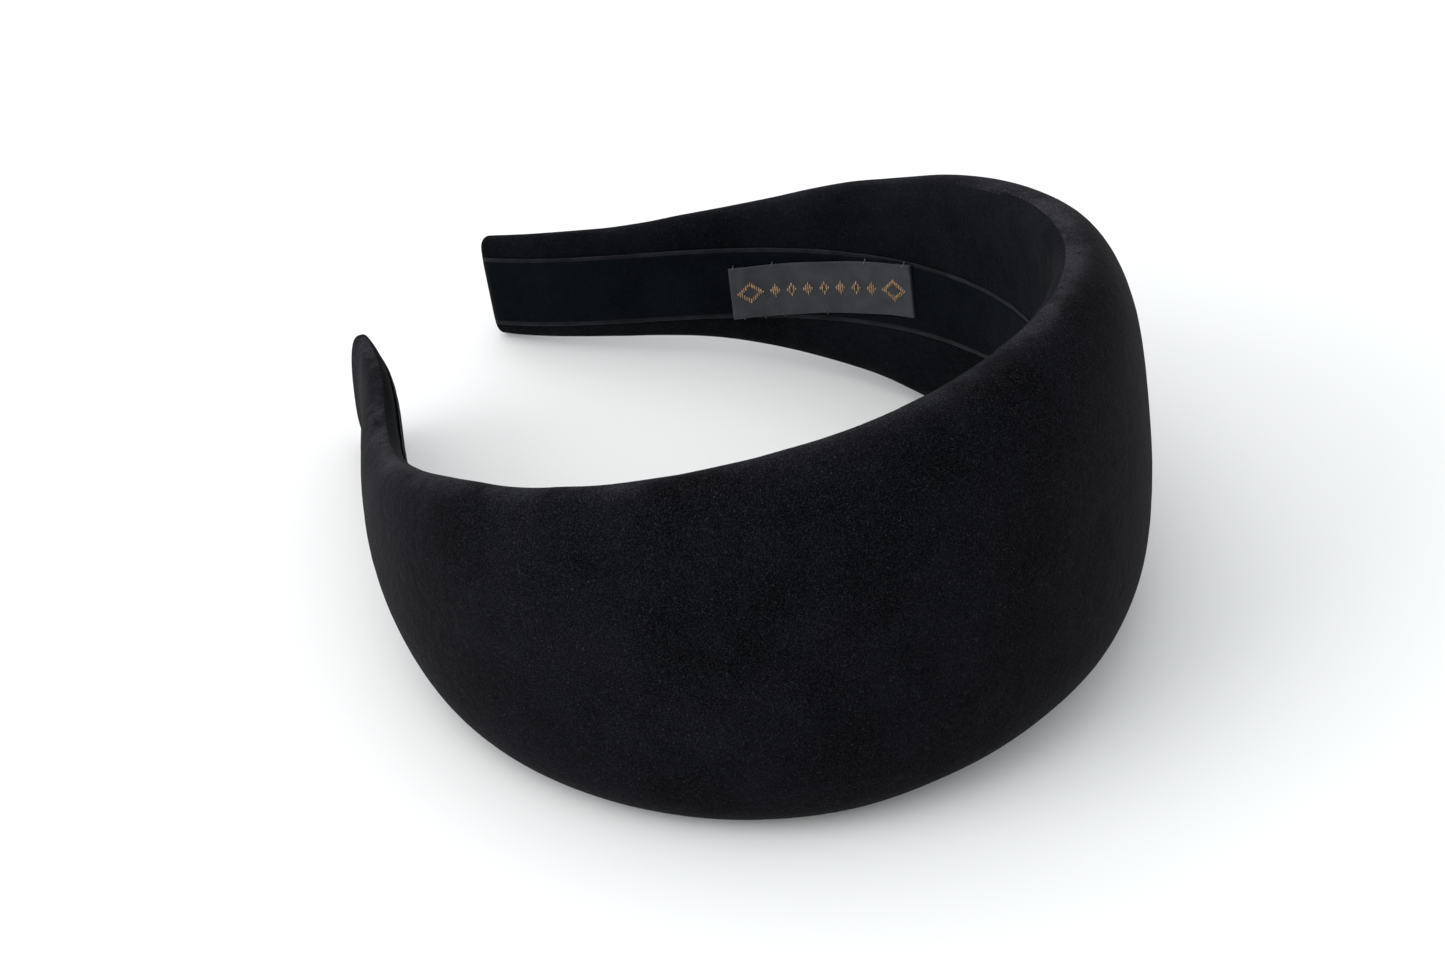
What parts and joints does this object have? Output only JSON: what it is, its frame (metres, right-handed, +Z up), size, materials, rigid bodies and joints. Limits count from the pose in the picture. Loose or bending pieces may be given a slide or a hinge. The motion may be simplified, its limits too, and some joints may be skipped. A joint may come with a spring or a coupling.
{
  "type": "padded headband",
  "caption": "Wide padded velvet headband: stiff inner strip, sponge padding, wrapped velvet cover, ribbon lining and a small woven label inside.",
  "frame": {"origin": "centre of the bounding box, on the surface that the band lies on", "axes": "+Z up; the band lies on its lower rim with its crown towards -Y and its two tips towards +Y; +X towards the wearer's side that carries the label"},
  "size_m": [0.1454, 0.1602, 0.0743],
  "materials": {
    "velvet": "black short-pile velvet with a cool sheen, paler along the rounded rim",
    "lining_velvet": "black velvet ribbon with glossy woven satin selvedges",
    "label_weave": "dark grey woven label with a plain copper motif",
    "thread": "dark polyester sewing thread",
    "core_plastic": "moulded black ABS",
    "foam": "open-cell polyurethane sponge",
    "adhesive": "clear amber adhesive film"
  },
  "bodies": {
    "root": {"core_band": "core_plastic", "pad_tape": "adhesive", "base_foam": "foam", "crown_pad": "foam", "velvet_cover": "velvet", "turn_in_glue": "adhesive", "lining_glue": "adhesive", "lining_ribbon": "lining_velvet", "woven_label": "label_weave", "label_stitches": "thread"}
  },
  "joints": []
}
